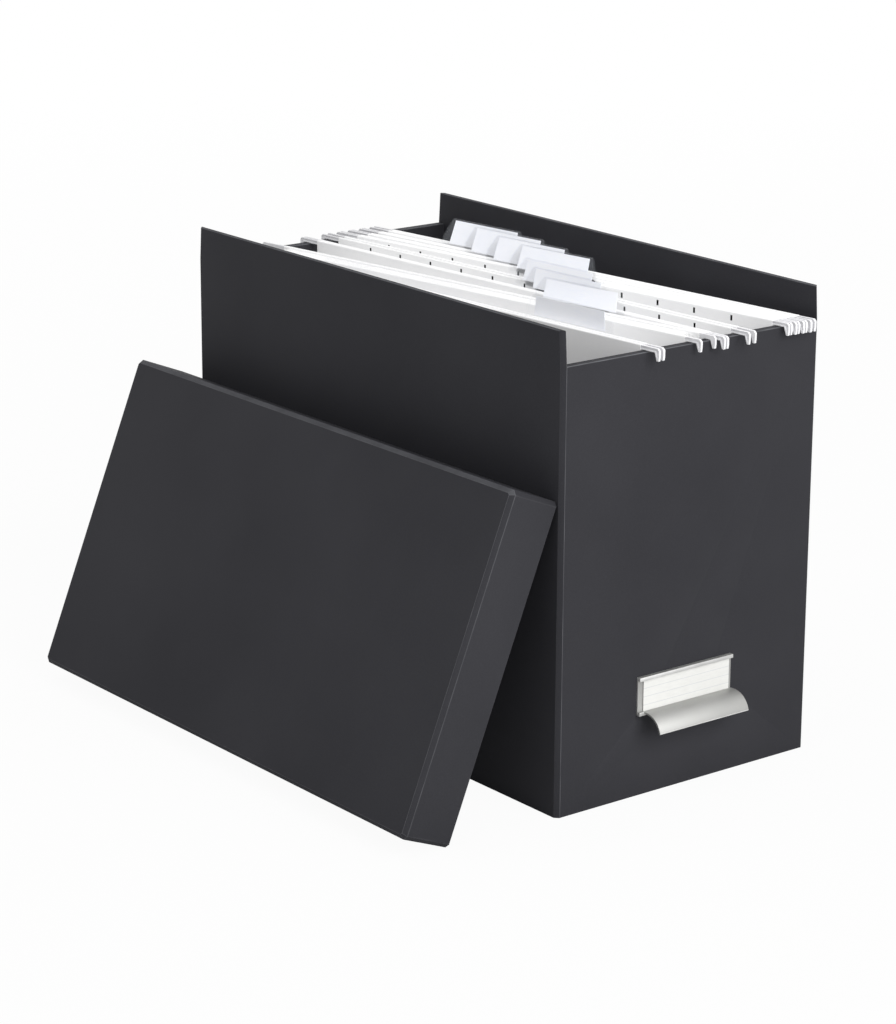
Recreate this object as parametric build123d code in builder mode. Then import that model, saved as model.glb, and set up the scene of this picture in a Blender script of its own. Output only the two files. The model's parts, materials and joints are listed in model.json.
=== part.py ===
from build123d import *
from math import atan2, cos, radians, sin
import os

# A portable box for hanging files, standing open, with its lid leaning on the front wall.
# Millimetres. X runs along the box, Y across it and Z up. The origin is the middle of the
# underside. The end wall at +X carries the label holder, and the lid leans on the -Y side.

os.makedirs("parts", exist_ok=True)

# ---- Box: covered board, folded at the corners ----
board = 2.5                  # thickness of the covered board
box_length = 340.0           # over the end walls
box_width = 184.5            # over the long walls
box_height = 270.0           # floor to the top edge of a long wall
upstand = 19.0               # long walls' top edges above the end walls'
corner_facet = 2.3           # flat left by the fold at each standing corner
upstand_taper = 1.3          # each end of a long wall's upstand leans in by this
edge_round = 0.5             # wrapped top edges of the walls

# ---- Lid: a shallow tray, longer than the box so that it clears the rail hooks ----
lid_end_play = 0.5           # rim to the rails' hooks, at each end
lid_side_play = 1.0          # rim to a long wall, on each side
lid_depth = 32.4
lid_tilt = 22.05             # lean from the vertical, degrees
lid_shift = -11.9            # middle of the lid from the middle of the box, along X
lid_clearance = 0.3          # between the lid's upper edge and the front wall

# ---- Label holder: an aluminium section with a pull lip, on the end wall ----
holder_width = 68.5
holder_height = 22.0
holder_bottom = 47.2         # underside above the floor
holder_shift = -2.1          # middle of the holder, along Y
holder_plate = 0.9
holder_depth = 2.7           # wall face to the front of the two card channels
channel_lip = 0.9            # thickness of the channels' front lips
channel_catch = 1.2          # how far each front lip reaches past its channel floor
lip_width = 65.3
lip_shift = -0.45            # middle of the lip, along Y
lip_thickness = 1.1
lip_reach = 16.4             # wall face to the outermost point of the pull lip
lip_radius = 12.0
lip_sweep = 75.0             # degrees of the lip's arc
card_length = 63.0
card_shift = -1.2            # middle of the card, along Y
card_thickness = 0.4
card_clearance = 0.3
rivet_spacing = 40.0
rivet_diameter = 3.0
rivet_head = 4.6             # countersunk, flush with the plate
rivet_tail = 5.6             # formed head inside the box
rivet_tail_height = 0.8
rivet_clearance = 0.05

# ---- Hanging files ----
paper = 0.3
pocket_side_gap = 8.5        # half of what the pocket is shorter than the box
pocket_play = 0.4            # pocket's right edge to the right end liner
pocket_bottom = 14.0         # underside of the fold above the floor
pocket_fold = 1.5            # width of the folded bottom
hem_depth = 11.0             # how far the paper wraps down behind each rail
hem_curve = 0.8              # outer round where the paper turns over a rail
rail_thickness = 1.5
rail_depth = 9.5             # top to underside, inside the hem
rail_inset = 2.5             # deep part of a rail, shorter than the pocket at each end
rail_overhang = 6.5          # rail's end past the end wall's outer face
rail_seat = 0.3              # under the necks, above the end wall's edge
neck_height = 2.4
hook_reach = 3.2             # hook's inner edge past the end wall's outer face
hook_drop = 4.5              # tips below the neck
hook_tip = 1.4               # length of a tip along X
hook_slant = 1.6             # the inner edge moves out by this down to the tip
hook_play = 0.4              # left hook to the left end wall's outer face
rib = 0.6                    # rim left round the recess in a hook
recess = 0.4                 # depth of the recess in a hook
rail_gap = 0.3               # paper to paper, inside a closed file
slot_count = 11
slot_pitch = 26.7
slot_shift = 3.2             # middle of the slot row from the middle of the rails
slot_width = 0.9
slot_height = 3.1
slot_drop = 1.9              # top of a slot below the top of the fold
groove_depth = 0.6           # groove in the rail behind the slots

# ---- Index tabs: a clear sleeve clipped to a file's rail, with a card in it ----
tab_wall = 0.4
tab_gap = 0.8                # room inside the sleeve
tab_clearance = 0.3          # sleeve to paper
tab_foot_width = 66.0
tab_foot_height = 9.7        # straight part of the sleeve's sides
tab_top_width = 56.0
tab_corner = 2.0             # round of the sleeve's top corners
tab_back_drop = 4.7          # back sheet reaches this far below the fold's top
tab_front_drop = 1.8         # front sheet reaches this far below the fold's top
tab_bend = 0.5               # round where a sheet bends
claw_width = 0.6
claw_height = 2.6
claw_depth = 1.0
insert_foot_width = 54.0
insert_top_width = 52.0
insert_thickness = 0.3
insert_clearance = 0.6       # under the sleeve's top

# ---- Folders in a file that stands open ----
folder_least_spread = 5.0    # a file spread wider than this is held open by folders
folder_side_gap = 6.5        # half of what the folders are shorter than the pocket
folder_foot = 0.4            # thickness of the wad at the fold
folder_play = 0.3            # to the paper of the file
folder_drop = 1.0            # top of the folders below the top of the fold

# Where each file hangs: how far its middle is in front of the back wall, at the left and
# at the right end wall, how far apart its two rails stand, and which way round it hangs
# (1 with its tab to the front, -1 with its tab to the back). Then its tab: the slot that
# it is centred on, counted from the middle one, how high it stands over the fold and how
# far its top leans over the file (below 0, away from it).
files = [
    {"left": 151.75, "right": 121.15, "spread": 1.0, "way": -1, "slot": -4, "tall": 12.0, "lean": -0.4},
    {"left": 135.95, "right": 84.95, "spread": 9.5, "way": -1, "slot": -3, "tall": 12.0, "lean": -2.4},
    {"left": 102.25, "right": 75.25, "spread": 0.0, "way": -1, "slot": -2, "tall": 12.5, "lean": -1.6},
    {"left": 85.35, "right": 55.85, "spread": 2.3, "way": 1, "slot": 1, "tall": 13.0, "lean": 3.4},
    {"left": 74.85, "right": 25.65, "spread": 0.0, "way": 1, "slot": 0, "tall": 14.0, "lean": 4.6},
    {"left": 66.45, "right": 20.55, "spread": 0.0, "way": 1, "slot": -1, "tall": 14.5, "lean": 4.8},
    {"left": 57.95, "right": 15.25, "spread": 0.0, "way": 1, "slot": -2, "tall": 15.0, "lean": 4.9},
    {"left": 49.25, "right": 9.6, "spread": 1.0, "way": 1, "slot": -3, "tall": 15.0, "lean": 5.0},
]

# ---- Sizes that follow ----
half_length = box_length / 2
half_width = box_width / 2
end_wall_height = box_height - upstand
pocket_length = box_length - 2 * pocket_side_gap
folder_length = pocket_length - 2 * folder_side_gap
rail_length = box_length + 2 * rail_overhang
hook_gap = box_length + 2 * hook_reach
lid_length = rail_length + 2 * (board + lid_end_play)
lid_width = box_width + 2 * (board + lid_side_play)
rail_top = end_wall_height + rail_seat + neck_height
fold_top = rail_top + paper
hem_width = rail_thickness + 2 * paper
slot_middle = fold_top - slot_drop - slot_height / 2


def save(piece, name):
    """Label a finished piece and write it as its own STEP file."""
    piece.part.label = name
    export_step(piece.part, "parts/" + name + ".step")


# ================= Box =================


def long_wall(side):
    """A long wall on the side -1 (front) or +1 (back), with its tapered upstand."""
    outer = Plane.XZ.offset(-side * half_width)
    with BuildPart() as wall:
        with BuildSketch(outer):
            with BuildLine():
                Polyline(
                    (half_length, 0),
                    (half_length, end_wall_height),
                    (half_length - upstand_taper, box_height),
                    (-half_length + upstand_taper, box_height),
                    (-half_length, end_wall_height),
                    (-half_length, 0),
                    close=True,
                )
            make_face()
        extrude(amount=side * board)
        outside = wall.faces().sort_by(Axis.Y)[0 if side < 0 else -1]
        chamfer(outside.edges().filter_by(lambda e: abs(e.tangent_at(0.5).Z) > 0.5), corner_facet)
        top = wall.faces().sort_by(Axis.Z)[-1]
        fillet(top.edges().filter_by(Axis.X), edge_round)
    return wall


def end_panel(side, layer):
    """An upright end panel on the side -1 or +1: layer 0 is the wall, layer 1 its liner."""
    outer = half_length - layer * board
    bottom = layer * board
    with BuildPart() as panel:
        with BuildSketch(Plane.YZ.offset(side * outer)):
            with Locations((0, (bottom + end_wall_height) / 2)):
                Rectangle(box_width - 2 * board, end_wall_height - bottom)
        extrude(amount=-side * board)
        top = panel.faces().sort_by(Axis.Z)[-1]
        free_edge = top.edges().filter_by(Axis.Y).sort_by(Axis.X)
        outward = side if layer == 0 else -side
        fillet(free_edge[-1 if outward > 0 else 0], edge_round)
        if side > 0:
            with Locations(*rivet_places(0)):
                Hole(rivet_diameter / 2 + rivet_clearance)
    return panel


def rivet_places(x):
    """Planes square to the end wall, at the two rivets, with their origins at x."""
    middle = holder_bottom + holder_height / 2
    ends = (-rivet_spacing / 2, rivet_spacing / 2)
    return [
        Plane(origin=(x, holder_shift + y, middle), x_dir=(0, 1, 0), z_dir=(1, 0, 0))
        for y in ends
    ]


with BuildPart() as base_board:
    with BuildSketch():
        Rectangle(box_length - 2 * board, box_width - 2 * board)
    extrude(amount=board)
save(base_board, "base_board")

save(long_wall(-1), "front_wall")
save(long_wall(1), "back_wall")
save(end_panel(-1, 0), "left_end_wall")
save(end_panel(1, 0), "right_end_wall")
save(end_panel(-1, 1), "left_end_liner")
save(end_panel(1, 1), "right_end_liner")


# ================= Label holder =================

wall_face = half_length
channel_top = holder_bottom + holder_height
lip_flat = lip_reach - holder_depth - lip_radius * sin(radians(lip_sweep))
lip_top = holder_bottom + holder_plate + channel_catch

with BuildPart() as label_holder:
    # the two card channels and the plate between them, one extruded section
    section = Plane.XZ.offset(-holder_shift - holder_width / 2)
    with BuildSketch(section):
        with Locations((wall_face, holder_bottom)):
            Rectangle(holder_depth, holder_height, align=(Align.MIN, Align.MIN))
        with Locations((wall_face + holder_plate, holder_bottom + holder_plate)):
            Rectangle(
                holder_depth - holder_plate - channel_lip,
                holder_height - 2 * holder_plate,
                align=(Align.MIN, Align.MIN),
                mode=Mode.SUBTRACT,
            )
        with Locations((wall_face + holder_depth - channel_lip, lip_top)):
            Rectangle(
                channel_lip,
                channel_top - holder_plate - channel_catch - lip_top,
                align=(Align.MIN, Align.MIN),
                mode=Mode.SUBTRACT,
            )
    extrude(amount=holder_width)
    # the pull lip: a short flat, then an arc that turns down
    lip_plane = Plane.XZ.offset(-lip_shift - lip_width / 2)
    start = (wall_face + holder_depth, lip_top - lip_thickness / 2)
    middle_radius = lip_radius - lip_thickness / 2
    with BuildSketch(lip_plane):
        with BuildLine():
            flat = Line(start, (start[0] + lip_flat, start[1]))
            JernArc(flat @ 1, flat % 1, middle_radius, -lip_sweep)
            offset(amount=lip_thickness / 2, kind=Kind.INTERSECTION)
        make_face()
    extrude(amount=lip_width)
    # countersunk seats for the rivets
    with Locations(*rivet_places(wall_face + holder_plate)):
        CounterSinkHole(
            radius=rivet_diameter / 2 + rivet_clearance,
            counter_sink_radius=rivet_head / 2 + rivet_clearance,
            depth=holder_plate,
            counter_sink_angle=90,
        )
save(label_holder, "label_holder")

rivet_grip = holder_plate + 2 * board
head_depth = (rivet_head - rivet_diameter) / 2

with BuildPart() as holder_rivets:
    # turned section about the shank's axis, flush head outside and formed head inside
    for place in rivet_places(wall_face + holder_plate):
        with BuildSketch(Plane(origin=place.origin, x_dir=(0, 1, 0), z_dir=(0, 0, -1))):
            with BuildLine():
                Polyline(
                    (0, 0),
                    (rivet_head / 2, 0),
                    (rivet_diameter / 2, -head_depth),
                    (rivet_diameter / 2, -rivet_grip),
                    (rivet_tail / 2, -rivet_grip),
                    (rivet_tail / 4, -rivet_grip - rivet_tail_height),
                    (0, -rivet_grip - rivet_tail_height),
                    close=True,
                )
            make_face()
        revolve(axis=Axis(place.origin, (1, 0, 0)))
save(holder_rivets, "holder_rivets")

with BuildPart() as label_card:
    groove = holder_depth - holder_plate - channel_lip
    card_face = wall_face + holder_plate + (groove - card_thickness) / 2
    with BuildSketch(Plane.YZ.offset(card_face)):
        with Locations((card_shift, holder_bottom + holder_height / 2)):
            Rectangle(card_length, holder_height - 2 * holder_plate - 2 * card_clearance)
    extrude(amount=card_thickness)
save(label_card, "label_card")


# ================= Lid =================

tilt = radians(lid_tilt)
lid_foot = -half_width - lid_width * sin(tilt) - lid_clearance
# The lid's own plane lies in its open side, with Y up its slope and Z to its outer face.
lid_plane = Plane(
    origin=(lid_shift, lid_foot, 0), x_dir=(1, 0, 0), z_dir=(0, -cos(tilt), sin(tilt))
)
rim_height = lid_depth - board


def lid_corners(piece):
    """Chamfer the edges of a lid piece that stand on the tray's four corners."""
    standing = piece.edges().filter_by(Axis((0, 0, 0), lid_plane.z_dir))
    corner = []
    for edge in standing:
        spot = lid_plane.to_local_coords(edge.center())
        at_end = abs(abs(spot.X) - lid_length / 2) < board / 2
        at_side = abs(abs(spot.Y - lid_width / 2) - lid_width / 2) < board / 2
        if at_end and at_side:
            corner.append(edge)
    chamfer(corner, corner_facet)


with BuildPart() as lid_top_board:
    with BuildSketch(lid_plane.offset(rim_height)):
        with Locations((0, lid_width / 2)):
            Rectangle(lid_length, lid_width)
    extrude(amount=board)
    lid_corners(lid_top_board)
    face = lid_top_board.faces().sort_by(Axis((0, 0, 0), lid_plane.z_dir))[-1]
    chamfer(face.edges(), corner_facet)
save(lid_top_board, "lid_top_board")


def lid_long_rim(y):
    """A rim along a long side of the tray, at the height y up the lid's slope."""
    with BuildPart() as rim:
        with BuildSketch(lid_plane):
            with Locations((0, y)):
                Rectangle(lid_length, board)
        extrude(amount=rim_height)
        lid_corners(rim)
    return rim


def lid_end_rim(side):
    """A rim across the end of the tray, on the side -1 or +1."""
    with BuildPart() as rim:
        with BuildSketch(lid_plane):
            with Locations((side * (lid_length - board) / 2, lid_width / 2)):
                Rectangle(board, lid_width - 2 * board)
        extrude(amount=rim_height)
    return rim


save(lid_long_rim(board / 2), "lid_lower_rim")
save(lid_long_rim(lid_width - board / 2), "lid_upper_rim")
save(lid_end_rim(-1), "lid_left_rim")
save(lid_end_rim(1), "lid_right_rim")


# ================= Hanging files =================


def half_thickness(spec):
    """From the middle of a closed or spread file to the outside of its paper, at the rails."""
    return hem_width + (rail_gap + spec["spread"]) / 2


def file_frame(spec):
    """The file's own frame: X along its rails, Y across it and Z up from the floor.

    A file stands askew where its two ends hang at different places, and it has been
    pushed to the right until its left hooks are nearly against the left end wall.
    """
    yaw = atan2(spec["left"] - spec["right"], box_length)
    middle = half_width - board - (spec["left"] + spec["right"]) / 2
    reach = hook_gap / 2 * cos(yaw) - half_thickness(spec) * sin(yaw)
    push = reach - half_length - hook_play
    direction = (cos(yaw), sin(yaw), 0)
    origin = (push, middle + push * sin(yaw), 0)
    return Plane(origin=origin, x_dir=direction, z_dir=(0, 0, 1))


def across(frame, x):
    """A plane square to the file's length at x, with its own X across and Y up."""
    origin = frame.from_local_coords((x, 0, 0))
    return Plane(origin=origin, x_dir=frame.y_dir, z_dir=frame.x_dir)


def along(frame, x, y):
    """A plane parallel to the file's length through x and y, facing -Y, with its own Y up."""
    origin = frame.from_local_coords((x, y, 0))
    return Plane(origin=origin, x_dir=frame.x_dir, z_dir=-frame.y_dir)


def paper_middle(frame, spec):
    """The pocket's middle along the file: it has slid right, up to the right end liner."""
    corner = half_length - 2 * board - pocket_play - frame.origin.X
    right_edge = (corner - half_thickness(spec) * frame.x_dir.Y) / frame.x_dir.X
    return right_edge - pocket_length / 2


def facing(frame, spec):
    """The file's frame turned so that its slots and tab are on the side of -Y.

    A file hung the other way round has them on its back.
    """
    return Plane(origin=frame.origin, x_dir=frame.x_dir * spec["way"], z_dir=frame.z_dir)


def paper_panel(frame, spec, side):
    """Half of the folded sheet, on the side -1 (front) or +1 (back).

    It runs from the middle of the bottom fold up to the hem that wraps over its rail.
    The half on the tab's side has the row of slots that tabs clip into.
    """
    outer = half_thickness(spec)
    inner = outer - hem_width
    hem_bottom = fold_top - hem_depth
    middle = paper_middle(frame, spec)
    with BuildPart() as sheet:
        with BuildSketch(across(frame, middle - pocket_length / 2)) as section:
            with BuildLine():
                Polyline(
                    (0, pocket_bottom),
                    (side * pocket_fold / 2, pocket_bottom),
                    (side * outer, hem_bottom),
                    (side * outer, fold_top),
                    (side * inner, fold_top),
                    (side * inner, hem_bottom),
                    (side * (inner + paper), hem_bottom),
                    (side * (inner + paper), fold_top - paper),
                    (side * (outer - paper), fold_top - paper),
                    (side * (outer - paper), hem_bottom),
                    (side * (pocket_fold / 2 - paper), pocket_bottom + paper),
                    (0, pocket_bottom + paper),
                    close=True,
                )
            make_face()
            fillet(section.vertices().group_by(Axis.Y)[-1], hem_curve)
        extrude(amount=pocket_length)
        if side == -spec["way"]:
            with BuildSketch(along(facing(frame, spec), slot_shift, paper - outer)):
                with Locations((0, slot_middle)):
                    with GridLocations(slot_pitch, 0, slot_count, 1):
                        Rectangle(slot_width, slot_height)
            extrude(amount=paper, mode=Mode.SUBTRACT)
    return sheet


def rails(frame, spec):
    """The file's two hanging rails, each with a hook at both ends."""
    deep_end = pocket_length / 2 - rail_inset
    neck = rail_top - neck_height
    tip_out = rail_length / 2
    tip_in = hook_gap / 2 + hook_slant
    groove_length = slot_pitch * (slot_count - 1) + 2 * slot_width
    with BuildPart() as bars:
        for side in (-1, 1):
            outer_face = side * (half_thickness(spec) - paper)
            back_face = max(outer_face, outer_face - side * rail_thickness)
            with BuildSketch(along(frame, 0, back_face)):
                with BuildLine():
                    Polyline(
                        (0, rail_top - rail_depth),
                        (deep_end, rail_top - rail_depth),
                        (deep_end, neck),
                        (hook_gap / 2, neck),
                        (tip_in, neck - hook_drop),
                        (tip_in + hook_tip, neck - hook_drop),
                        (tip_out, neck - hook_drop / 2),
                        (tip_out, rail_top - neck_height / 2),
                        (tip_out - neck_height / 2, rail_top),
                        (0, rail_top),
                        close=True,
                    )
                make_face()
                mirror(about=Plane.YZ)
            extrude(amount=rail_thickness)
            # the recess in each neck and hook, which leaves a rim all round
            with BuildSketch(along(frame, 0, outer_face)):
                with BuildLine():
                    Polyline(
                        (deep_end + rib, rail_top - rib),
                        (deep_end + rib, neck + rib),
                        (hook_gap / 2 + rib, neck + rib),
                        (tip_in + rib, neck - hook_drop + rib * 2),
                        (tip_out - rib, neck - hook_drop / 2),
                        (tip_out - rib, rail_top - neck_height / 2),
                        (tip_out - neck_height / 2, rail_top - rib),
                        close=True,
                    )
                make_face()
                mirror(about=Plane.YZ)
            extrude(amount=side * recess, mode=Mode.SUBTRACT)
        # the groove behind the slots
        groove_floor = paper - half_thickness(spec) + groove_depth
        with BuildSketch(along(facing(frame, spec), slot_shift, groove_floor)):
            with Locations((0, slot_middle)):
                Rectangle(groove_length, slot_height)
        extrude(amount=groove_depth, mode=Mode.SUBTRACT)
    return bars


def tab_frame(frame, spec):
    """The tab's own frame: its file's facing frame, moved to the slot in the tab's middle."""
    base = facing(frame, spec)
    origin = base.from_local_coords((slot_shift + spec["slot"] * slot_pitch, 0, 0))
    return Plane(origin=origin, x_dir=base.x_dir, z_dir=base.z_dir)


def tab_sheets(spec):
    """The middle lines of the sleeve's back and front sheets at the fold, in the tab's frame."""
    back = -half_thickness(spec) - tab_clearance - tab_wall / 2
    return back, back - tab_gap - tab_wall


def tab(frame, spec):
    """A clear sleeve, open at both sides and below, with two claws in the slots."""
    back, front = tab_sheets(spec)
    lean = spec["lean"]
    top = fold_top + spec["tall"]
    foot = fold_top - tab_back_drop
    local = tab_frame(frame, spec)
    with BuildPart() as sleeve:
        with BuildSketch(across(local, -tab_foot_width / 2)):
            with BuildLine():
                FilletPolyline(
                    (back, foot),
                    (back, fold_top + tab_wall),
                    (back + lean, top - tab_wall / 2),
                    (front + lean, top - tab_wall / 2),
                    (front, fold_top + tab_wall),
                    (front, fold_top - tab_front_drop),
                    radius=tab_bend,
                )
                offset(amount=tab_wall / 2, kind=Kind.INTERSECTION)
            make_face()
        extrude(amount=tab_foot_width)
        # trimmed to its outline: straight sides, then slanting in to the top
        with BuildSketch(along(local, 0, back + max(lean, 0) + tab_wall)) as outline:
            with BuildLine():
                Polyline(
                    (-tab_foot_width / 2, foot),
                    (tab_foot_width / 2, foot),
                    (tab_foot_width / 2, foot + tab_foot_height),
                    (tab_top_width / 2, top),
                    (-tab_top_width / 2, top),
                    (-tab_foot_width / 2, foot + tab_foot_height),
                    close=True,
                )
            make_face()
            fillet(outline.vertices().group_by(Axis.Y)[-1], tab_corner)
        extrude(amount=abs(lean) + tab_gap + 3 * tab_wall, mode=Mode.INTERSECT)
        with BuildSketch(along(local, 0, back + claw_depth)):
            with Locations((-slot_pitch, slot_middle), (slot_pitch, slot_middle)):
                Rectangle(claw_width, claw_height)
        extrude(amount=claw_depth)
    return sleeve


def insert(frame, spec):
    """The card in a tab's sleeve, halfway between its two sheets and leaning with them."""
    back, front = tab_sheets(spec)
    foot = fold_top + tab_wall
    crest = fold_top + spec["tall"] - tab_wall / 2
    slant = atan2(spec["lean"], crest - foot)
    height = (crest - tab_wall / 2 - insert_clearance - foot) / cos(slant)
    local = tab_frame(frame, spec)
    origin = local.from_local_coords((0, (back + front + insert_thickness) / 2, foot))
    facing = local.z_dir * sin(slant) - local.y_dir * cos(slant)
    with BuildPart() as card:
        with BuildSketch(Plane(origin=origin, x_dir=local.x_dir, z_dir=facing)):
            with BuildLine():
                Polyline(
                    (-insert_foot_width / 2, 0),
                    (insert_foot_width / 2, 0),
                    (insert_top_width / 2, height),
                    (-insert_top_width / 2, height),
                    close=True,
                )
            make_face()
        extrude(amount=insert_thickness)
    return card


def folders(frame, spec):
    """The wad of filled folders that holds a spread file open, a wedge standing in its fold."""
    room = half_thickness(spec) - hem_width - folder_play
    foot = pocket_bottom + paper + folder_play
    middle = paper_middle(frame, spec)
    with BuildPart() as wad:
        with BuildSketch(across(frame, middle - folder_length / 2)):
            with BuildLine():
                Polyline(
                    (-folder_foot / 2, foot),
                    (folder_foot / 2, foot),
                    (room, fold_top - folder_drop),
                    (-room, fold_top - folder_drop),
                    close=True,
                )
            make_face()
        extrude(amount=folder_length)
    return wad


for number, spec in enumerate(files, start=1):
    name = f"file_{number}_"
    frame = file_frame(spec)
    save(paper_panel(frame, spec, -1), name + "front_panel")
    save(paper_panel(frame, spec, 1), name + "back_panel")
    save(rails(frame, spec), name + "rails")
    save(tab(frame, spec), name + "tab")
    save(insert(frame, spec), name + "insert")
    if spec["spread"] > folder_least_spread:
        save(folders(frame, spec), name + "folders")
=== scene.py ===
import json
import logging
import math
from collections.abc import Callable
from dataclasses import dataclass, field
from enum import Enum

import bmesh
import bpy
from mathutils import Matrix, Vector


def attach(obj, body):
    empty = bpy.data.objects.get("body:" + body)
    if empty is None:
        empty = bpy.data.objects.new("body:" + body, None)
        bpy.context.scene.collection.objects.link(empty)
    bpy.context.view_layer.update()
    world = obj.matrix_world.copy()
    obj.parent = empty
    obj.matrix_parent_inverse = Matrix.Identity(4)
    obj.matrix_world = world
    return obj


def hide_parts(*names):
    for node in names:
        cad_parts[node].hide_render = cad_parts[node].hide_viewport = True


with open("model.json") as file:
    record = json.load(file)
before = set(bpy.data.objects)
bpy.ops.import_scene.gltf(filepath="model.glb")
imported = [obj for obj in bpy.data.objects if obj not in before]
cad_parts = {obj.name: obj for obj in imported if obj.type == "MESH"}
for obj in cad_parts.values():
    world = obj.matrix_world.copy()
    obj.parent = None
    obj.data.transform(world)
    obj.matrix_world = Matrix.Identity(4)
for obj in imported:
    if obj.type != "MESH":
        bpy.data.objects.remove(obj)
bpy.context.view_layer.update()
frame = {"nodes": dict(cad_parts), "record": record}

Colour = tuple[float, float, float, float]
Place = tuple[float, float, float]
Socket = bpy.types.NodeSocket

MM = 0.001

# the face attribute that holds how far a face is painted paler: real wear on edges, and a painted
# highlight on edges and on facets turned to the light
WEAR_AND_HIGHLIGHT = "wear_and_highlight"

# the hanging files' numbers, from the front wall back
FILES = range(1, 9)

# how a solid's loose triangles become whole faces again, and where an edge stays crisp
SAME_POINT = 0.002 * MM
SAME_FACE = math.radians(0.5)
CRISP_EDGE = math.radians(32)

log = logging.getLogger("file_box")


# ---------------------------------------------------------------- colours and node helpers


def srgb(red: int, green: int, blue: int) -> Colour:
    """A colour from its 0-255 screen values.

    Args:
        red: red value.
        green: green value.
        blue: blue value.

    Returns:
        The linear colour with full alpha.
    """
    def linear(value: float) -> float:
        """One channel from screen value to linear."""
        share = value / 255
        return share / 12.92 if share <= 0.04045 else ((share + 0.055) / 1.055) ** 2.4

    return (linear(red), linear(green), linear(blue), 1.0)


class Tree:
    """Builds nodes in one node tree and links them by socket name."""

    def __init__(self, tree: bpy.types.NodeTree) -> None:
        """Keeps the tree that the nodes go into."""
        self.tree = tree

    def node(self, kind: str, inputs: dict | None = None, **settings: object) -> bpy.types.Node:
        """Adds a node.

        Args:
            kind: the node's type, without its ShaderNode prefix.
            inputs: values or sockets by input name or number.
            **settings: the node's own settings.

        Returns:
            The new node.
        """
        new = self.tree.nodes.new("ShaderNode" + kind)
        for name, value in settings.items():
            setattr(new, name, value)
        for key, value in (inputs or {}).items():
            if isinstance(value, Socket):
                self.tree.links.new(value, new.inputs[key])
            else:
                new.inputs[key].default_value = value
        return new

    def math(self, operation: str, *values: float | Socket, clamp: bool = False) -> Socket:
        """A Math node's result for up to three values or sockets."""
        new = self.node("Math", dict(enumerate(values)), operation=operation, use_clamp=clamp)
        return new.outputs[0]

    def weighed(self, first: Socket, second: Socket, share: float) -> Socket:
        """Two values added, the first with its share and the second with the rest."""
        return self.math("MULTIPLY_ADD", first, share, self.math("MULTIPLY", second, 1 - share))

    def mix(self, share: Socket, first: Colour | Socket, second: Colour | Socket) -> Socket:
        """Two colours mixed by a share from 0, all first, to 1, all second."""
        new = self.node("Mix", {0: share, 6: first, 7: second}, data_type="RGBA")
        return new.outputs[2]

    def noise(self, place: Socket, scale: float | Socket, detail: float = 2.0) -> Socket:
        """A noise value around a half at the given scale, in bumps to the metre."""
        new = self.node("TexNoise", {"Vector": place, "Scale": scale, "Detail": detail})
        return new.outputs["Fac"]

    def stretched(self, place: Socket, scale: Place) -> Socket:
        """A place scaled along each axis, for lines that run one way."""
        return self.node("Mapping", {"Vector": place, "Scale": scale}).outputs[0]

    def remap(
        self, value: Socket, low: float, high: float, to_low: float = 0.0, to_high: float = 1.0
    ) -> Socket:
        """A value moved from one range to another and kept inside it."""
        new = self.node("MapRange", {0: value, 1: low, 2: high, 3: to_low, 4: to_high})
        return new.outputs[0]


def group(
    name: str, inputs: dict[str, float | None], outputs: tuple[str, ...]
) -> tuple[Tree, dict[str, Socket], bpy.types.Node]:
    """Starts a shared node group.

    Args:
        name: the group's name.
        inputs: input name to its default value, or None for a place.
        outputs: the names of its values.

    Returns:
        The tree builder, the input sockets by name and the output node.
    """
    tree = bpy.data.node_groups.new(name, "ShaderNodeTree")
    for label, value in inputs.items():
        kind = "NodeSocketVector" if value is None else "NodeSocketFloat"
        socket = tree.interface.new_socket(label, in_out="INPUT", socket_type=kind)
        if value is not None:
            socket.default_value = value
    for label in outputs:
        tree.interface.new_socket(label, in_out="OUTPUT", socket_type="NodeSocketFloat")
    start = tree.nodes.new("NodeGroupInput")
    end = tree.nodes.new("NodeGroupOutput")
    return Tree(tree), {s.name: s for s in start.outputs if s.name}, end


# ---------------------------------------------------------------- shared effects


@dataclass(frozen=True)
class PaperGrain:
    """Fine grain of covering paper under a soft cloud."""

    grain: float = 1500.0
    grain_detail: float = 3.0
    cloud: float = 9.0
    cloud_detail: float = 4.0
    cells: float = 0.6
    fine_share: float = 0.65
    cloud_share: float = 0.55

    def build(self) -> bpy.types.NodeTree:
        """Builds the group.

        Returns:
            The group, which puts out a tone and a height.
        """
        inputs = {"Place": None, "Grain": self.grain, "Cloud": self.cloud}
        t, given, end = group("paper_grain", inputs, ("Tone", "Height"))
        place = given["Place"]
        fine = t.noise(place, given["Grain"], self.grain_detail)
        cloud = t.noise(place, given["Cloud"], self.cloud_detail)
        cell_scale = t.math("MULTIPLY", given["Grain"], self.cells)
        cells = t.node("TexVoronoi", {"Vector": place, "Scale": cell_scale})
        grain = t.weighed(fine, cells.outputs["Distance"], self.fine_share)
        t.tree.links.new(t.weighed(cloud, grain, self.cloud_share), end.inputs["Tone"])
        t.tree.links.new(grain, end.inputs["Height"])
        return t.tree


@dataclass(frozen=True)
class WornAndHighlitEdge:
    """Where an edge or a facet is painted paler, partly as wear and partly as a painted
    highlight, broken up in patches.
    """

    patches: float = 60.0
    detail: float = 5.0
    least: float = 0.45
    low: float = 0.3
    high: float = 0.65

    def build(self) -> bpy.types.NodeTree:
        """Builds the group.

        Returns:
            The group, which puts out a mask from the attribute of wear and painted highlight.
        """
        t, given, end = group("worn_and_highlit_edge", {"Place": None, "Amount": 1.0}, ("Mask",))
        wear_and_highlight = t.node("Attribute", attribute_name=WEAR_AND_HIGHLIGHT).outputs["Fac"]
        patches = t.noise(given["Place"], self.patches, self.detail)
        broken = t.remap(patches, self.low, self.high, self.least, 1.0)
        mask = t.math("MULTIPLY", t.math("MULTIPLY", wear_and_highlight, broken), given["Amount"])
        t.tree.links.new(mask, end.inputs["Mask"])
        return t.tree


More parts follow.
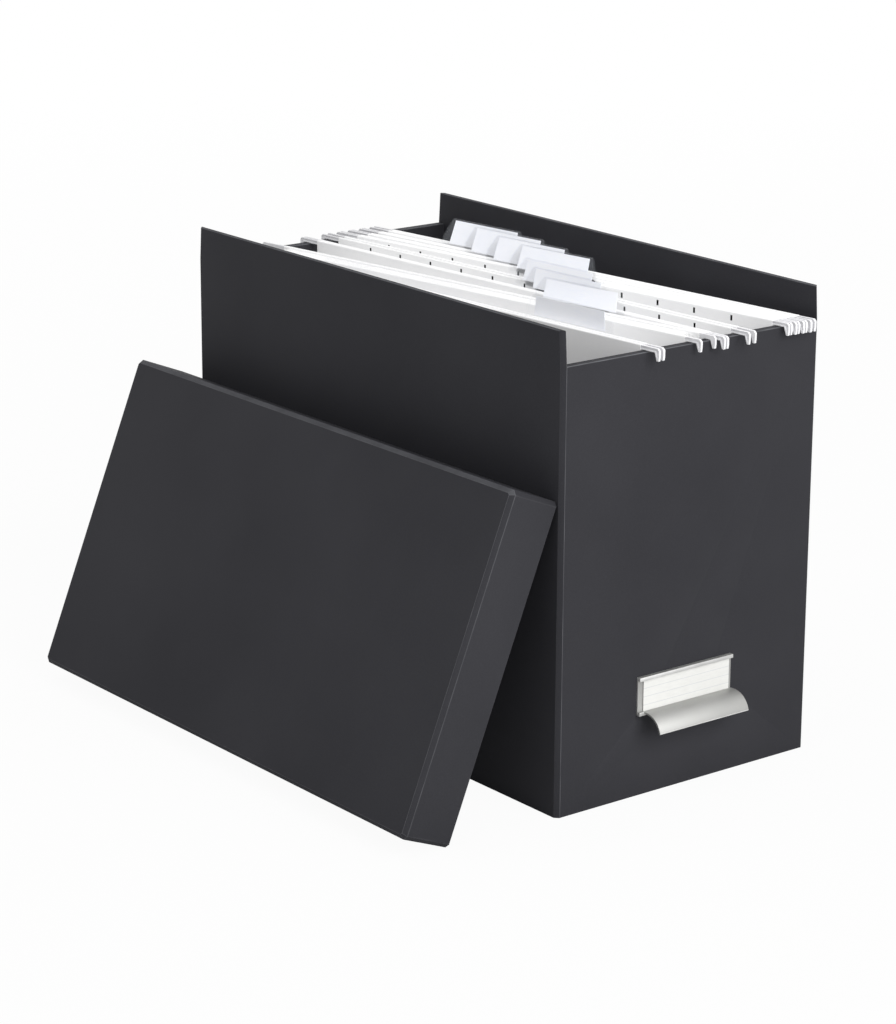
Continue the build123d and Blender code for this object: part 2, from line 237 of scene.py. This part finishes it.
@dataclass(frozen=True)
class Strands:
    """Strands that run one way under a soft cloud: paper fibres or drawn lines."""

    name: str
    stretch: Place
    detail: float
    cloud: float
    cloud_detail: float
    strand_share: float

    def build(self) -> bpy.types.NodeTree:
        """Builds the group.

        Returns:
            The group, which puts out a tone and a height.
        """
        t, given, end = group(self.name, {"Place": None}, ("Tone", "Height"))
        strands = t.noise(t.stretched(given["Place"], self.stretch), 1.0, self.detail)
        cloud = t.noise(given["Place"], self.cloud, self.cloud_detail)
        t.tree.links.new(t.weighed(strands, cloud, self.strand_share), end.inputs["Tone"])
        t.tree.links.new(strands, end.inputs["Height"])
        return t.tree


@dataclass(frozen=True)
class WritingLines:
    """Faint ruled writing lines across a card, evenly spaced in height."""

    spacing: float = 5.0 * MM
    count: float = 3.0
    half_line: float = 0.035

    def build(self) -> bpy.types.NodeTree:
        """Builds the group.

        Returns:
            The group, which puts out a mask.
        """
        inputs = {"Place": None, "First": 0.0, "Spacing": self.spacing, "Count": self.count}
        t, given, end = group("writing_lines", inputs, ("Mask",))
        height = t.node("SeparateXYZ", {0: given["Place"]}).outputs["Z"]
        steps = t.math("DIVIDE", t.math("SUBTRACT", height, given["First"]), given["Spacing"])
        nearest = t.math("ROUND", steps)
        off = t.math("ABSOLUTE", t.math("SUBTRACT", steps, nearest))
        thin = t.math("LESS_THAN", off, self.half_line)
        above = t.math("GREATER_THAN", nearest, -0.5)
        below = t.math("LESS_THAN", nearest, t.math("SUBTRACT", given["Count"], 0.5))
        mask = t.math("MULTIPLY", thin, t.math("MULTIPLY", above, below))
        t.tree.links.new(mask, end.inputs["Mask"])
        return t.tree


class Effects:
    """The shader node groups that several finishes share, each built once."""

    def __init__(self) -> None:
        """Builds every group."""
        self.grain = PaperGrain().build()
        self.worn_and_highlit = WornAndHighlitEdge().build()
        self.fibre = Strands("paper_fibre", (260.0, 260.0, 900.0), 4.0, 22.0, 3.0, 0.4).build()
        self.drawn = Strands("drawn_lines", (5200.0, 60.0, 5200.0), 3.0, 90.0, 2.0, 0.6).build()
        self.ruled = WritingLines().build()


class Surface:
    """A Principled material under construction."""

    # where most of a pattern's values lie, for a change of colour and of roughness
    tones: tuple[float, float] = (0.35, 0.65)
    roughs: tuple[float, float] = (0.3, 0.7)

    def __init__(self, name: str) -> None:
        """Creates the material with its shader and object coordinates.

        Args:
            name: the material's name.
        """
        self.material = bpy.data.materials.new(name)
        self.material.use_nodes = True
        self.tree = Tree(self.material.node_tree)
        self.shader = self.material.node_tree.nodes["Principled BSDF"]
        self.place = self.tree.node("TexCoord").outputs["Object"]

    def set(self, **values: float) -> None:
        """Sets constants on the shader, with _ for a space in a socket's name."""
        for name, value in values.items():
            self.shader.inputs[name.replace("_", " ")].default_value = value

    def feed(self, name: str, socket: Socket) -> None:
        """Links a socket into the shader."""
        self.tree.tree.links.new(socket, self.shader.inputs[name])

    def effect(self, tree: bpy.types.NodeTree, **values: float) -> dict[str, Socket]:
        """Adds a shared effect at this material's place.

        Args:
            tree: the effect's group.
            **values: its inputs by name.

        Returns:
            What the effect puts out, by name.
        """
        new = self.tree.node("Group", node_tree=tree)
        self.tree.tree.links.new(self.place, new.inputs["Place"])
        for name, value in values.items():
            new.inputs[name].default_value = value
        return dict(new.outputs.items())

    def two_tone(self, tone: Socket, first: Colour, second: Colour) -> Socket:
        """A colour that wanders from the first to the second with an effect's tone."""
        return self.tree.mix(self.tree.remap(tone, *self.tones), first, second)

    def rough(self, pattern: Socket, middle: float, smoother: float, rougher: float) -> None:
        """Feeds a roughness that wanders round its middle value with a pattern."""
        wander = self.tree.remap(pattern, *self.roughs, middle - smoother, middle + rougher)
        self.feed("Roughness", wander)

    def bump(self, height: Socket, depth: float, strength: float = 0.5) -> None:
        """Feeds a height into the shader's normal, depth in metres."""
        new = self.tree.node("Bump", {"Height": height, "Distance": depth, "Strength": strength})
        self.feed("Normal", new.outputs[0])


# ---------------------------------------------------------------- finishes


@dataclass(frozen=True)
class CoveredBoard:
    """Charcoal covering paper on board, matte with a fine grain, paler on its edges and facets:
    partly real wear, partly a painted highlight.
    """

    name: str = "charcoal_covering_paper"
    light: Colour = srgb(54, 54, 58)
    dark: Colour = srgb(45, 45, 49)
    # the paler colour of worn edges and of the painted highlight on edges and facets
    worn_and_highlit: Colour = srgb(112, 113, 117)
    roughness: float = 0.66
    smoother: float = 0.05
    rougher: float = 0.08
    wear_and_highlight_share: float = 0.64
    gloss: float = 0.13
    depth: float = 0.04 * MM
    strength: float = 0.6

    def material(self, effects: Effects) -> bpy.types.Material:
        """Builds the material.

        Args:
            effects: the shared effects.

        Returns:
            The finished material.
        """
        s = Surface(self.name)
        grain = s.effect(effects.grain)
        edge = s.effect(effects.worn_and_highlit, Amount=self.wear_and_highlight_share)
        paper = s.two_tone(grain["Tone"], self.dark, self.light)
        # edges and facets painted paler, as wear and as a painted highlight
        s.feed("Base Color", s.tree.mix(edge["Mask"], paper, self.worn_and_highlit))
        s.rough(grain["Height"], self.roughness, self.smoother, self.rougher)
        s.set(Specular_IOR_Level=self.gloss)
        s.bump(grain["Height"], self.depth, self.strength)
        return s.material


@dataclass(frozen=True)
class SatinMetal:
    """Anodised or plain metal with drawn lines along its length."""

    name: str
    light: Colour = srgb(180, 180, 178)
    dark: Colour = srgb(168, 168, 166)
    # near-white colour for the painted highlight on edges and narrow facets
    worn_and_highlit: Colour = srgb(240, 240, 239)
    roughness: float = 0.6
    smoother: float = 0.06
    rougher: float = 0.08
    wear_and_highlight_share: float = 0.9
    depth: float = 0.01 * MM
    tones: tuple[float, float] = (0.3, 0.7)

    def material(self, effects: Effects) -> bpy.types.Material:
        """Builds the material.

        Args:
            effects: the shared effects.

        Returns:
            The finished material.
        """
        s = Surface(self.name)
        lines = s.effect(effects.drawn)
        edge = s.effect(effects.worn_and_highlit, Amount=self.wear_and_highlight_share)
        tone = s.tree.remap(lines["Tone"], *self.tones)
        metal = s.tree.mix(tone, self.dark, self.light)
        # edges and narrow facets painted near-white as a highlight
        s.feed("Base Color", s.tree.mix(edge["Mask"], metal, self.worn_and_highlit))
        s.rough(lines["Tone"], self.roughness, self.smoother, self.rougher)
        s.set(Metallic=1.0)
        s.bump(lines["Height"], self.depth)
        return s.material


@dataclass(frozen=True)
class WhiteSheet:
    """Smooth white paper, card or moulded plastic with a faint cloud of tone and a painted glow
    that lifts its shade.
    """

    name: str
    colour: Colour = srgb(243, 243, 243)
    shade: Colour = srgb(238, 238, 239)
    roughness: float = 0.6
    wander: float = 0.05
    gloss: float = 0.3
    depth: float = 0.01 * MM
    painted_glow: float = 0.14

    def material(self, effects: Effects) -> bpy.types.Material:
        """Builds the material.

        Args:
            effects: the shared effects.

        Returns:
            The finished material.
        """
        s = Surface(self.name)
        fibre = s.effect(effects.fibre)
        white = s.two_tone(fibre["Tone"], self.colour, self.shade)
        s.feed("Base Color", white)
        # the sheet glows in its own colour: painted light that lifts it where it lies in shade
        s.feed("Emission Color", white)
        s.rough(fibre["Tone"], self.roughness, self.wander, self.wander)
        s.set(Specular_IOR_Level=self.gloss, Emission_Strength=self.painted_glow)
        s.bump(fibre["Height"], self.depth)
        return s.material


@dataclass(frozen=True)
class RuledCard:
    """White card with faint writing lines."""

    name: str = "ruled_label_card"
    colour: Colour = srgb(227, 227, 224)
    shade: Colour = srgb(218, 218, 215)
    line: Colour = srgb(186, 189, 194)
    ink: float = 0.55
    first: float = 52.7 * MM
    spacing: float = 4.8 * MM
    count: float = 3.0
    roughness: float = 0.5
    rougher: float = 0.1
    gloss: float = 0.3
    depth: float = 0.008 * MM

    def material(self, effects: Effects) -> bpy.types.Material:
        """Builds the material.

        Args:
            effects: the shared effects.

        Returns:
            The finished material.
        """
        s = Surface(self.name)
        fibre = s.effect(effects.fibre)
        ruled = s.effect(effects.ruled, First=self.first, Spacing=self.spacing, Count=self.count)
        paper = s.two_tone(fibre["Tone"], self.colour, self.shade)
        faint = s.tree.math("MULTIPLY", ruled["Mask"], self.ink)
        s.feed("Base Color", s.tree.mix(faint, paper, self.line))
        s.rough(fibre["Tone"], self.roughness, 0.0, self.rougher)
        s.set(Specular_IOR_Level=self.gloss)
        s.bump(fibre["Height"], self.depth)
        return s.material


@dataclass(frozen=True)
class ClearSheet:
    """Clear stiff plastic sheet: seen through face on, milky where it turns away, and lifted by a
    painted glow.
    """

    name: str = "clear_plastic_sleeve"
    light: Colour = srgb(240, 243, 248)
    dark: Colour = srgb(226, 232, 241)
    roughness: float = 0.12
    rougher: float = 0.1
    rough_from: float = 0.4
    rough_to: float = 0.7
    face_on: float = 0.02
    turned: float = 0.14
    turn_blend: float = 0.35
    turn_from: float = 0.25
    turn_to: float = 0.95
    painted_glow: float = 0.2
    index: float = 1.46

    def material(self, effects: Effects) -> bpy.types.Material:
        """Builds the material.

        Args:
            effects: the shared effects.

        Returns:
            The finished material.
        """
        s = Surface(self.name)
        fibre = s.effect(effects.fibre)
        tint = s.two_tone(fibre["Tone"], self.light, self.dark)
        s.feed("Base Color", tint)
        # the sleeve glows in its tint: painted light, showing most where the sheet turns away
        s.feed("Emission Color", tint)
        roughest = self.roughness + self.rougher
        s.feed("Roughness", s.tree.remap(
            fibre["Tone"], self.rough_from, self.rough_to, self.roughness, roughest
        ))
        turn = s.tree.node("LayerWeight", {"Blend": self.turn_blend}).outputs["Facing"]
        s.feed("Alpha", s.tree.remap(
            turn, self.turn_from, self.turn_to, self.face_on, self.turned
        ))
        s.set(IOR=self.index, Emission_Strength=self.painted_glow)
        return s.material


@dataclass(frozen=True)
class GrooveShade:
    """Painted shade: near-black colour in the depth of a rail's groove and in the slots in front
    of it.
    """

    name: str = "painted_groove_shade"
    light: Colour = srgb(16, 16, 17)
    dark: Colour = srgb(8, 8, 9)
    roughness: float = 0.7
    rougher: float = 0.15
    gloss: float = 0.05

    def material(self, effects: Effects) -> bpy.types.Material:
        """Builds the material.

        Args:
            effects: the shared effects.

        Returns:
            The finished material.
        """
        s = Surface(self.name)
        grain = s.effect(effects.grain)
        s.feed("Base Color", s.tree.mix(grain["Tone"], self.dark, self.light))
        s.rough(grain["Height"], self.roughness, 0.0, self.rougher)
        s.set(Specular_IOR_Level=self.gloss)
        return s.material


class Finishes:
    """Every finish of the box and what it holds, made once."""

    def __init__(self, effects: Effects) -> None:
        """Builds the materials.

        Args:
            effects: the shared effects.
        """
        # the white sheets and the sleeve glow a little as painted light, most on the tab cards
        moulded = WhiteSheet(
            "moulded_white_plastic", srgb(236, 236, 238), srgb(228, 228, 231),
            roughness=0.4, painted_glow=0.04,
        )
        tab_card = WhiteSheet(
            "white_tab_card", srgb(235, 236, 240), srgb(228, 230, 236), painted_glow=0.28
        )
        self.board = CoveredBoard().material(effects)
        self.metal = SatinMetal("satin_anodised_aluminium").material(effects)
        self.rivet = SatinMetal("plain_rivet_metal", roughness=0.42).material(effects)
        self.label = RuledCard().material(effects)
        self.paper = WhiteSheet("white_file_paper").material(effects)
        self.plastic = moulded.material(effects)
        self.groove = GrooveShade().material(effects)
        self.clear = ClearSheet().material(effects)
        self.tab_card = tab_card.material(effects)


# ---------------------------------------------------------------- softened copies of solids


@dataclass(frozen=True)
class Softening:
    """How a solid's sharp edges are rounded, and how much its edges and narrow facets are painted
    paler, as wear and as a painted highlight.
    """

    width: float
    segments: int = 2
    angle: float = 25.0
    edge_wear_and_highlight: float = 1.0
    edge_width: float = 0.35 * MM
    facet_highlight: float = 0.0
    facet_width: float = 3.6 * MM
    facet_ways: tuple[Place, ...] = ((0, 0, 1),)
    facet_turn: float = 0.5

    def wear_and_highlight(self, face: bmesh.types.BMFace) -> float:
        """How much paler a face is painted: as an edge when thin, for wear and a painted
        highlight, and as a facet when narrow and turned to the light, for a painted highlight.

        Args:
            face: the face before the rounding.

        Returns:
            The share of wear and painted highlight, from 0 to 1.
        """
        width = face.calc_area() / max(edge.calc_length() for edge in face.edges)
        if width < self.edge_width:
            return self.edge_wear_and_highlight
        # a narrow facet turned to the light gets a painted highlight
        turned = any(face.normal.dot(Vector(way)) > self.facet_turn for way in self.facet_ways)
        return self.facet_highlight if turned and width < self.facet_width else 0.0

    def soften(self, bm: bmesh.types.BMesh) -> None:
        """Rounds the sharp edges and records the wear and the painted highlight.

        Args:
            bm: the mesh, with whole faces.
        """
        wear_and_highlight = bm.faces.layers.float.new(WEAR_AND_HIGHLIGHT)
        for face in bm.faces:
            face[wear_and_highlight] = self.wear_and_highlight(face)
        limit = math.radians(self.angle)
        paired = [edge for edge in bm.edges if len(edge.link_faces) == 2]
        sharp = [edge for edge in paired if edge.calc_face_angle(0.0) > limit]
        if self.width > 0:
            made = bmesh.ops.bevel(
                bm, geom=sharp, offset=self.width, offset_type="OFFSET", affect="EDGES",
                segments=self.segments, profile=0.5, material=-1, clamp_overlap=True,
            )
            # the rounded faces are painted paler along the edge, as wear and as a painted
            # highlight
            for face in made["faces"]:
                face[wear_and_highlight] = self.edge_wear_and_highlight


def body_of(node: str) -> str:
    """The body that a solid rides with."""
    groups = frame["record"]["behaviour"]["bodies"]
    return next(body for body, members in groups.items() if node in members)


def placed(name: str, bm: bmesh.types.BMesh) -> bpy.types.Object:
    """Turns a finished mesh into an object of the scene.

    Args:
        name: the object's name.
        bm: its mesh, which is used up.

    Returns:
        The new object.
    """
    mesh = bpy.data.meshes.new(name)
    bm.to_mesh(mesh)
    bm.free()
    piece = bpy.data.objects.new(name, mesh)
    bpy.context.scene.collection.objects.link(piece)
    return piece


def in_place_of(node: str, name: str, bm: bmesh.types.BMesh) -> bpy.types.Object:
    """Places a piece that rides with a solid's body and replaces the solid.

    Args:
        node: the solid.
        name: the new piece's name.
        bm: the new piece's mesh.

    Returns:
        The new piece.
    """
    piece = placed(name, bm)
    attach(piece, body_of(node))
    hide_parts(node)
    return piece


def softened(
    node: str, name: str, how: Softening, mark: Callable[[bmesh.types.BMesh], None] | None = None
) -> bpy.types.Object:
    """A copy of a solid with its sharp edges rounded and marked for wear and a painted highlight.

    Args:
        node: the solid to copy and to stand in for.
        name: the new piece's name.
        how: the rounding.
        mark: what gives some faces a second material, before the rounding.

    Returns:
        The new piece, riding with its solid's body.
    """
    bm = bmesh.new()
    bm.from_mesh(frame["nodes"][node].data)
    bmesh.ops.remove_doubles(bm, verts=bm.verts, dist=SAME_POINT)
    bmesh.ops.dissolve_limit(
        bm, angle_limit=SAME_FACE, verts=bm.verts, edges=bm.edges, delimit={"NORMAL"}
    )
    if mark:
        mark(bm)
    how.soften(bm)
    for face in bm.faces:
        face.smooth = True
    for edge in bm.edges:
        edge.smooth = len(edge.link_faces) == 2 and edge.calc_face_angle(0.0) < CRISP_EDGE
    return in_place_of(node, name, bm)


def dress(obj: bpy.types.Object, *materials: bpy.types.Material) -> None:
    """Gives an object its materials, the first one all over unless faces are marked.

    Args:
        obj: the piece, solid or floor.
        *materials: its materials, in the order of the marks.
    """
    marks = [face.material_index for face in obj.data.polygons]
    obj.data.materials.clear()
    for material in materials:
        obj.data.materials.append(material)
    last = len(materials) - 1
    obj.data.polygons.foreach_set("material_index", [min(mark, last) for mark in marks])


@dataclass
class SubAssembly:
    """Pieces that are built and dressed together."""

    pieces: dict[str, bpy.types.Object] = field(default_factory=dict, kw_only=True)

    def build(self) -> None:
        """Makes the pieces."""
        raise NotImplementedError

    def finish(self, finishes: Finishes) -> None:
        """Dresses the pieces."""
        raise NotImplementedError


# ---------------------------------------------------------------- the box and its lid


@dataclass
class CoveredBox(SubAssembly):
    """The open box: floor board, two long walls, two end walls and their liners."""

    rounding: Softening = Softening(0.35 * MM)
    boards: tuple[str, ...] = (
        "base_board", "front_wall", "back_wall", "left_end_wall",
        "right_end_wall", "left_end_liner", "right_end_liner",
    )

    def cover(self, node: str, how: Softening) -> None:
        """Makes one softened board."""
        self.pieces[node] = softened(node, node + "_covered", how)

    def build(self) -> None:
        """Makes the softened boards."""
        for node in self.boards:
            self.cover(node, self.rounding)

    def finish(self, finishes: Finishes) -> None:
        """Covers every board with the paper."""
        for piece in self.pieces.values():
            dress(piece, finishes.board)


@dataclass
class TrayLid(CoveredBox):
    """The lid, leaning: a top board with four rims."""

    # the top board's narrow upward facets are painted lighter as a highlight; the rims' edges are
    # painted paler only a little
    rounding: Softening = Softening(0.35 * MM, edge_wear_and_highlight=0.3)
    top_rounding: Softening = Softening(0.45 * MM, facet_highlight=0.5)
    top: str = "lid_top_board"
    boards: tuple[str, ...] = (
        "lid_lower_rim", "lid_upper_rim", "lid_left_rim", "lid_right_rim"
    )

    def build(self) -> None:
        """Makes the softened rims and the top board, whose upward folded facets get a painted
        highlight.
        """
        super().build()
        self.cover(self.top, self.top_rounding)


# ---------------------------------------------------------------- label holder


@dataclass
class LabelHolder(SubAssembly):
    """The aluminium section with its pull lip, its rivets and the card."""

    # narrow faces turned square to x or y, and the rounded edges, are painted near-white as a
    # highlight
    section: Softening = Softening(
        0.25 * MM, facet_highlight=0.75, facet_ways=((1, 0, 0), (0, 1, 0), (0, -1, 0)), facet_turn=0.99
    )
    card: Softening = Softening(0.03 * MM, 1)

    def build(self) -> None:
        """Makes the softened section and card."""
        self.pieces["section"] = softened("label_holder", "label_holder_section", self.section)
        self.pieces["card"] = softened("label_card", "label_card_sheet", self.card)

    def finish(self, finishes: Finishes) -> None:
        """Dresses the section, the rivets and the card.

        Args:
            finishes: every finish.
        """
        dress(self.pieces["section"], finishes.metal)
        dress(frame["nodes"]["holder_rivets"], finishes.rivet)
        dress(self.pieces["card"], finishes.label)


# ---------------------------------------------------------------- hanging files


class Part(str, Enum):
    """The pieces of a hanging file, by the ends of their names."""

    FRONT = "front_panel"
    BACK = "back_panel"
    RAILS = "rails"
    TAB = "tab"
    INSERT = "insert"


@dataclass(frozen=True)
class Groove:
    """The groove that runs behind the slots, on the outer face of one rail."""

    area: float = 268.8 * MM * 3.1 * MM
    slack: float = 0.04
    upright: float = 0.01

    def __call__(self, bm: bmesh.types.BMesh) -> None:
        """Marks the groove's floor and sides for the second material, which paints them in shade.

        Args:
            bm: the rails' mesh.
        """
        for face in bm.faces:
            same_size = abs(face.calc_area() / self.area - 1) < self.slack
            if same_size and abs(face.normal.z) < self.upright:
                face.material_index = 1
                for edge in face.edges:
                    for side in edge.link_faces:
                        side.material_index = 1


@dataclass(frozen=True)
class SlotSides:
    """The cut sides of the slots in a paper panel, which lie in the rail's shade."""

    largest: float = 1.2 * MM * MM
    end: float = 0.5 * MM * MM
    spread: float = 0.25 * MM

    def __call__(self, bm: bmesh.types.BMesh) -> None:
        """Marks the sides of the slots for the second material, painted shade, and presses them
        open.

        Args:
            bm: the panel's mesh.
        """
        sides = [face for face in bm.faces if face.calc_area() < self.largest]
        for face in sides:
            face.material_index = 1
        for face in [side for side in sides if side.calc_area() > self.end]:
            bmesh.ops.translate(bm, verts=face.verts, vec=-self.spread * face.normal)


@dataclass
class HangingFile(SubAssembly):
    """One hanging file: two paper panels, rails, a clear tab and its card."""

    number: int
    rounding: dict[Part, Softening] = field(default_factory=lambda: {
        Part.FRONT: Softening(0.0),
        Part.BACK: Softening(0.0),
        Part.RAILS: Softening(0.12 * MM, 1),
        Part.TAB: Softening(0.0),
        Part.INSERT: Softening(0.03 * MM, 1),
    })
    marks: dict[Part, Callable[[bmesh.types.BMesh], None]] = field(default_factory=lambda: {
        Part.FRONT: SlotSides(),
        Part.BACK: SlotSides(),
        Part.RAILS: Groove(),
    })

    def build(self) -> None:
        """Makes the smooth or softened copy of each solid."""
        for part, how in self.rounding.items():
            node = f"file_{self.number}_{part.value}"
            self.pieces[part.value] = softened(node, node + "_made", how, self.marks.get(part))

    def finish(self, finishes: Finishes) -> None:
        """Dresses the panels, the rails, the sleeve and the card.

        Args:
            finishes: every finish.
        """
        # the second material of the panels and the rails is painted shade
        coats = {
            Part.FRONT: (finishes.paper, finishes.groove),
            Part.BACK: (finishes.paper, finishes.groove),
            Part.RAILS: (finishes.plastic, finishes.groove),
            Part.TAB: (finishes.clear,),
            Part.INSERT: (finishes.tab_card,),
        }
        for part, materials in coats.items():
            dress(self.pieces[part.value], *materials)


@dataclass
class FolderWad(SubAssembly):
    """The filled folders in the open file: thin leaves fanned from the fold up."""

    node: str = "file_2_folders"
    name: str = "folder_leaves"
    leaves: int = 15
    thickness: float = 0.57 * MM
    uneven_top: float = 0.25 * MM
    uneven_end: float = 2.5 * MM
    top_turn: float = 2.4
    end_turn: float = 1.7

    def corners(self) -> dict[tuple[int, int, int], Vector]:
        """Finds the wedge's eight corners.

        Returns:
            The corners by end (0 left), side (0 front) and level (0 low).
        """
        vertices = frame["nodes"][self.node].data.vertices
        points = sorted({tuple(round(c, 6) for c in v.co) for v in vertices}, key=lambda p: p[2])
        found = {}
        for level, four in enumerate((points[:4], points[4:])):
            ends = sorted(four)
            for end, pair in enumerate((ends[:2], ends[2:])):
                for side, point in enumerate(sorted(pair, key=lambda p: p[1])):
                    found[end, side, level] = Vector(point)
        return found

    def leaf(
        self, bm: bmesh.types.BMesh, corners: dict[tuple[int, int, int], Vector],
        place: float, rise: float, slide: float,
    ) -> None:
        """Adds one leaf.

        Args:
            bm: the mesh that takes it.
            corners: the wedge's corners.
            place: where it stands across the wedge, from 0 to 1.
            rise: how far its top is below the wedge's.
            slide: how far it has moved along.
        """
        def at(end: int, level: int) -> Vector:
            """The leaf's corner at an end and a level."""
            return corners[end, 0, level].lerp(corners[end, 1, level], place)

        along = (at(1, 0) - at(0, 0)).normalized()
        outward = Vector((-along.y, along.x, 0))
        drop = Vector((0, 0, rise))
        shift = along * slide - outward * self.thickness / 2
        points = [at(0, 0), at(1, 0), at(1, 1) - drop, at(0, 1) - drop]
        face = bm.faces.new([bm.verts.new(point + shift) for point in points])
        made = bmesh.ops.extrude_face_region(bm, geom=[face])
        moved = [item for item in made["geom"] if isinstance(item, bmesh.types.BMVert)]
        bmesh.ops.translate(bm, verts=moved, vec=outward * self.thickness)

    def build(self) -> None:
        """Stands the leaves side by side, each at its own height."""
        corners = self.corners()
        bm = bmesh.new()
        for index in range(self.leaves):
            place = (index + 0.5) / self.leaves
            rise = self.uneven_top * (0.5 + 0.5 * math.sin(index * self.top_turn))
            slide = self.uneven_end * math.sin(index * self.end_turn)
            self.leaf(bm, corners, place, rise, slide)
        bmesh.ops.recalc_face_normals(bm, faces=bm.faces)
        self.pieces["leaves"] = in_place_of(self.node, self.name, bm)

    def finish(self, finishes: Finishes) -> None:
        """Gives the leaves their paper."""
        dress(self.pieces["leaves"], finishes.paper)


# ---------------------------------------------------------------- studio


class Ray(Enum):
    """The kinds of ray that the floor and the surroundings tell apart."""

    CAMERA = "Is Camera Ray"
    GLOSSY = "Is Glossy Ray"
    THROUGH = "Is Transmission Ray"


@dataclass(frozen=True)
class SoftBox:
    """One soft studio light."""

    name: str
    place: Place
    size: float
    power: float
    aim: Place = (0.0, 0.0, 0.13)

    def build(self) -> None:
        """Adds the light, aimed at the box."""
        data = bpy.data.lights.new(self.name, "AREA")
        data.shape = "SQUARE"
        data.size = self.size
        data.energy = self.power
        lamp = bpy.data.objects.new(self.name, data)
        bpy.context.scene.collection.objects.link(lamp)
        away = Vector(self.place) - Vector(self.aim)
        turn = away.to_track_quat("Z", "Y").to_matrix().to_4x4()
        lamp.matrix_world = Matrix.Translation(self.place) @ turn


@dataclass(frozen=True)
class StudioCamera:
    """The camera, placed by its angles round a target."""

    azimuth: float = 51.973
    elevation: float = 16.451
    roll: float = 0.314
    distance: float = 1.89406
    target: Place = (-0.016066, -0.022081, 0.116578)
    lens: float = 113.616
    sensor: float = 36.0

    def build(self) -> None:
        """Adds the camera and gives it to the scene."""
        a, e, r = (math.radians(v) for v in (self.azimuth, self.elevation, self.roll))
        back = Vector((math.sin(a) * math.cos(e), -math.cos(a) * math.cos(e), math.sin(e)))
        right = Vector((math.cos(a), math.sin(a), 0))
        up = back.cross(right)
        across = right * math.cos(r) + up * math.sin(r)
        upward = up * math.cos(r) - right * math.sin(r)
        data = bpy.data.cameras.new("camera")
        data.lens = self.lens
        data.sensor_width = self.sensor
        camera = bpy.data.objects.new("camera", data)
        bpy.context.scene.collection.objects.link(camera)
        turn = Matrix((across, upward, back)).transposed().to_4x4()
        eye = Vector(self.target) + back * self.distance
        camera.matrix_world = Matrix.Translation(eye) @ turn
        bpy.context.scene.camera = camera


@dataclass(frozen=True)
class Studio:
    """The floor, the pale surroundings, the lights and the camera."""

    white: Colour = srgb(255, 255, 255)
    ambient: float = 0.45
    floor_colour: Colour = srgb(218, 218, 218)
    floor_near: float = 0.95
    floor_radius: float = 3.0
    floor_corners: int = 96
    pale_from: float = 0.45
    pale_to: float = 2.25
    lights: tuple[SoftBox, ...] = (
        SoftBox("key", (2.6, 0.1, 1.5), 2.2, 70.0),
        SoftBox("fill", (-0.4, -1.6, 2.8), 2.2, 17.0),
        SoftBox("top", (0.0, 0.4, 2.6), 2.0, 11.0),
    )
    camera: StudioCamera = StudioCamera()

    def build(self) -> None:
        """Builds everything that isn't part of the box."""
        self._floor()
        self._world()
        for light in self.lights:
            light.build()
        self.camera.build()
        bpy.context.scene.view_settings.view_transform = "Standard"

    @staticmethod
    def _seen(t: Tree, *kinds: Ray) -> Socket:
        """Tells whether a surface is looked at by some kinds of ray.

        Args:
            t: the tree that asks.
            *kinds: the kinds of ray.

        Returns:
            1 for those rays and 0 for the others.
        """
        path = t.node("LightPath")
        seen = path.outputs[kinds[0].value]
        for kind in kinds[1:]:
            seen = t.math("ADD", seen, path.outputs[kind.value], clamp=True)
        return seen

    def _floor(self) -> None:
        """A plain pale floor that keeps a soft contact shadow."""
        bm = bmesh.new()
        bmesh.ops.create_circle(
            bm, cap_ends=True, segments=self.floor_corners, radius=self.floor_radius
        )
        floor = placed("floor", bm)
        material = bpy.data.materials.new("pale_floor")
        material.use_nodes = True
        t = Tree(material.node_tree)
        output = material.node_tree.nodes["Material Output"]
        material.node_tree.nodes.remove(material.node_tree.nodes["Principled BSDF"])
        diffuse = t.node("BsdfDiffuse", {"Color": self.floor_colour})
        glow = t.node("Emission", {"Color": self.white, "Strength": 1.0})
        place = t.node("TexCoord").outputs["Object"]
        reach = t.node("VectorMath", {0: place}, operation="LENGTH").outputs["Value"]
        pale = t.remap(reach, self.pale_from, self.pale_to, self.floor_near, 1.0)
        share = t.math("MULTIPLY", self._seen(t, Ray.CAMERA, Ray.THROUGH), pale)
        mixed = t.node("MixShader", {0: share, 1: diffuse.outputs[0], 2: glow.outputs[0]})
        material.node_tree.links.new(mixed.outputs[0], output.inputs["Surface"])
        dress(floor, material)

    def _world(self) -> None:
        """White surroundings, dimmer as a light than as a background."""
        world = bpy.data.worlds.new("surroundings")
        bpy.context.scene.world = world
        world.use_nodes = True
        t = Tree(world.node_tree)
        seen = self._seen(t, Ray.CAMERA, Ray.GLOSSY, Ray.THROUGH)
        back = world.node_tree.nodes["Background"]
        back.inputs["Color"].default_value = self.white
        strength = t.remap(seen, 0.0, 1.0, self.ambient, 1.0)
        world.node_tree.links.new(strength, back.inputs["Strength"])


def main() -> None:
    """Builds and dresses the file box, piece by piece."""
    logging.basicConfig(level=logging.INFO)
    finishes = Finishes(Effects())
    files = [HangingFile(number) for number in FILES]
    for assembly in (CoveredBox(), TrayLid(), LabelHolder(), *files, FolderWad()):
        assembly.build()
        assembly.finish(finishes)
        for piece in assembly.pieces.values():
            faces = len(piece.data.polygons)
            log.info("%s: %s, %d faces", type(assembly).__name__, piece.name, faces)
    Studio().build()


if __name__ == "__main__":
    main()
